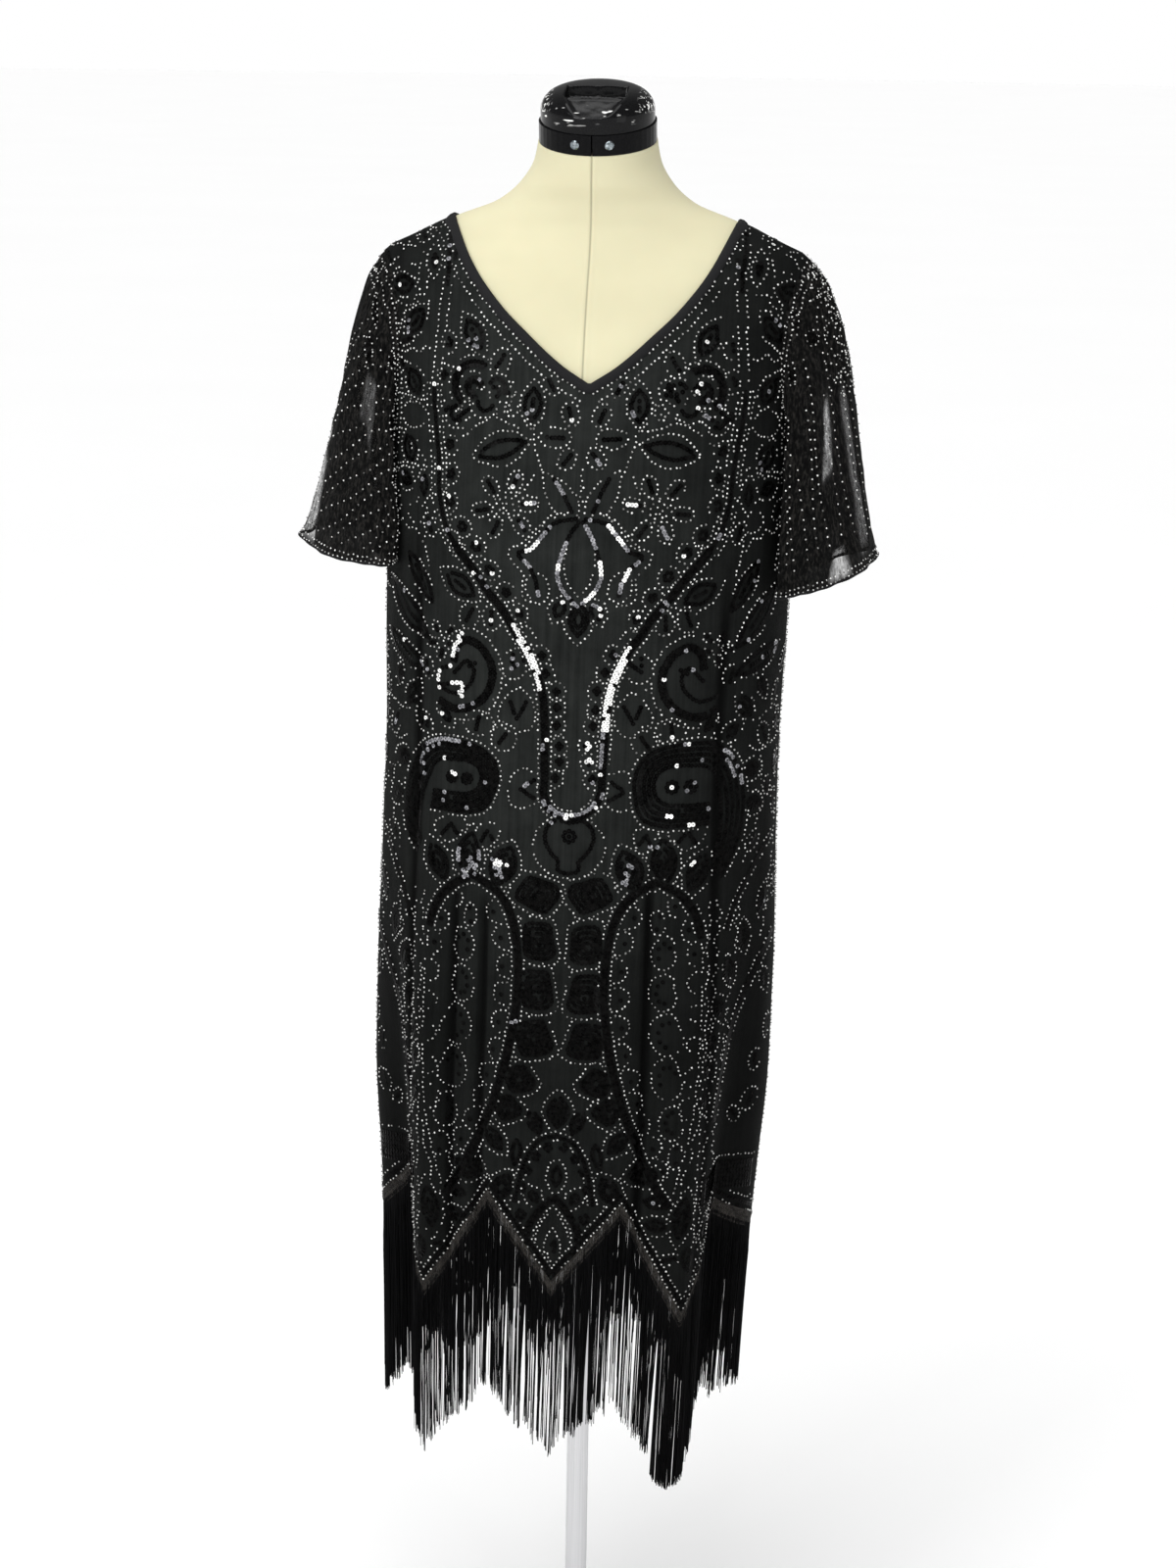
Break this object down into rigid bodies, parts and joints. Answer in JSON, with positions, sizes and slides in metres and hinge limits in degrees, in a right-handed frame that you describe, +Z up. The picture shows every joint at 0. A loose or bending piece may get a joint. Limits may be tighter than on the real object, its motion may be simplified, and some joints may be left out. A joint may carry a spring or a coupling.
{
  "type": "beaded flapper dress on a dress form with a stand",
  "caption": "Black beaded flapper dress with short mesh sleeves, V neck and zigzag fringed hem, on a limbless cream dress form with a pole and round base.",
  "frame": {"origin": "centre of the base's underside, on the floor", "axes": "+Z up along the pole; the front of the dress faces -Y; +X towards the viewer's right, the wearer's left"},
  "size_m": [0.549, 0.37, 1.6574],
  "materials": {
    "georgette": "fine matt woven ground",
    "mesh": "sheer crinkled mesh",
    "trim": "beaded tape",
    "fringe": "fine loose strands",
    "jersey": "smooth stretched knit cover",
    "gloss_black": "moulded, glossy",
    "rivet": "bright",
    "pole": "satin tube",
    "base": "smooth pale paint"
  },
  "bodies": {
    "root": {"dress_front": "georgette", "dress_back": "georgette", "sleeve_left": "mesh", "sleeve_right": "mesh", "neck_binding_front": "trim", "neck_binding_back": "trim", "fringe_tape_front": "trim", "fringe_tape_back": "trim", "fringe_front": "fringe", "fringe_back": "fringe", "form_torso": "jersey", "form_collar_left": "gloss_black", "form_collar_right": "gloss_black", "form_cap": "gloss_black", "form_rivet_front_left": "rivet", "form_rivet_front_right": "rivet", "form_rivet_back_left": "rivet", "form_rivet_back_right": "rivet", "stand_pole": "pole", "stand_base": "base", "stand_hub": "base"}
  },
  "joints": []
}
